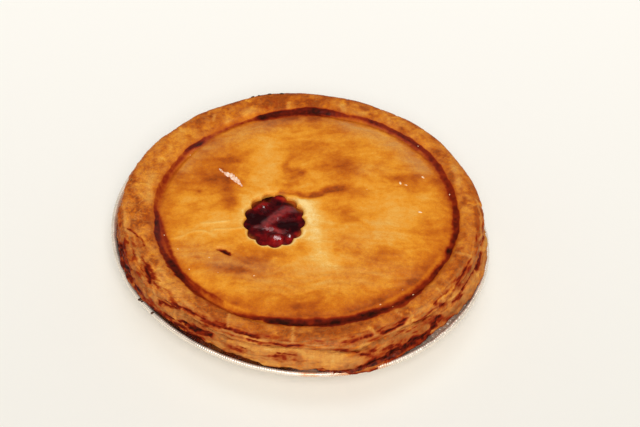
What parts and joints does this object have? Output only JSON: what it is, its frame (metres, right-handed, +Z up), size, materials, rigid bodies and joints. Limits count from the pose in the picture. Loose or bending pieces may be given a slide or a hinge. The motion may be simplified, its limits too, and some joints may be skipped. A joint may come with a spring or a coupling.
{
  "type": "cherry pie",
  "caption": "Baked double-crust cherry pie in a crimped foil pan, with a ring pressed round its glossy golden lid and a fluted vent that shows dark red filling.",
  "frame": {"origin": "centre of the pan's flat base, where the pie stands on a table", "axes": "+Z up through the lid, +X to the right of someone who looks at the pie as in the picture, +Y away from them"},
  "size_m": [0.233, 0.2288, 0.0454],
  "materials": {
    "foil": "bright pressed foil",
    "crust": "egg-washed golden brown pastry",
    "filling": "wet dark red jelly"
  },
  "bodies": {
    "root": {"foil_pan": "foil", "crust": "crust", "filling": "filling"}
  },
  "joints": []
}
